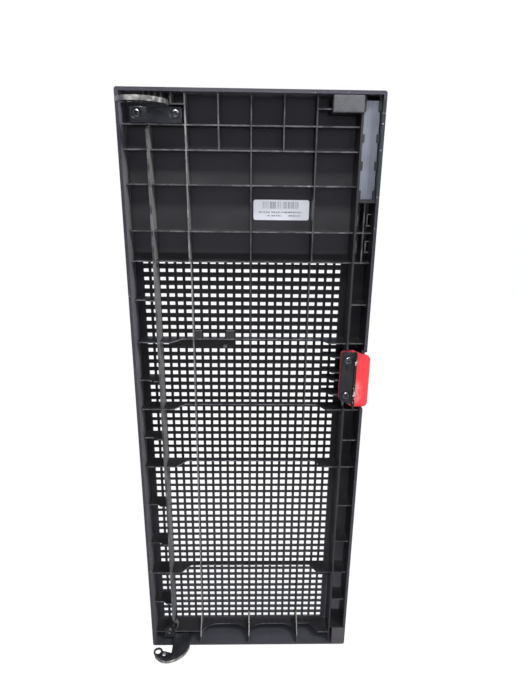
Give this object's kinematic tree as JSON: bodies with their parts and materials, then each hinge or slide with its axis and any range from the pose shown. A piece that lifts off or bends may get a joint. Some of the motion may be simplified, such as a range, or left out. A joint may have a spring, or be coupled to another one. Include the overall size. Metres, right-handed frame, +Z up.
{
  "type": "server bezel door",
  "caption": "Tall ribbed plastic door for a tower server front, with a slanted air grille, hook-shaped hinge arms and a red push latch on its free edge.",
  "frame": {"origin": "axis of the lower hinge pivot, at the bottom face of the lower pivot eye", "axes": "+Z up along the hinge axis, +X from the hinge edge to the free edge, +Y towards the door's outer face"},
  "size_m": [0.1718, 0.0455, 0.442],
  "materials": {
    "door_plastic": "fine satin texture",
    "hinge_black": "satin black with worn edges",
    "screw_black": "black oxide",
    "latch_red": "satin",
    "spring_steel": "bright strip",
    "strip_grey": "matte",
    "foam_grey": "open foam",
    "label_white": "satin film"
  },
  "bodies": {
    "door": {"door_panel": "door_plastic", "vent_grille": "door_plastic", "upper_hinge_arm": "hinge_black", "lower_hinge_arm": "hinge_black", "hinge_screws": "screw_black", "latch_retainer": "door_plastic", "latch_screws": "screw_black", "latch_spring": "spring_steel", "trim_strip": "strip_grey", "upper_foam_pad": "foam_grey", "lower_foam_pad": "foam_grey", "label": "label_white"},
    "latch": {"latch_slider": "latch_red"}
  },
  "joints": [
    {"name": "latch_press", "type": "slide", "parent": "door", "child": "latch", "axis": [-1, 0, 0], "range_m": [0, 0.0032], "stiffness_N_per_m": 400, "springref_m": -0.004, "deforming": ["latch_spring"]}
  ]
}
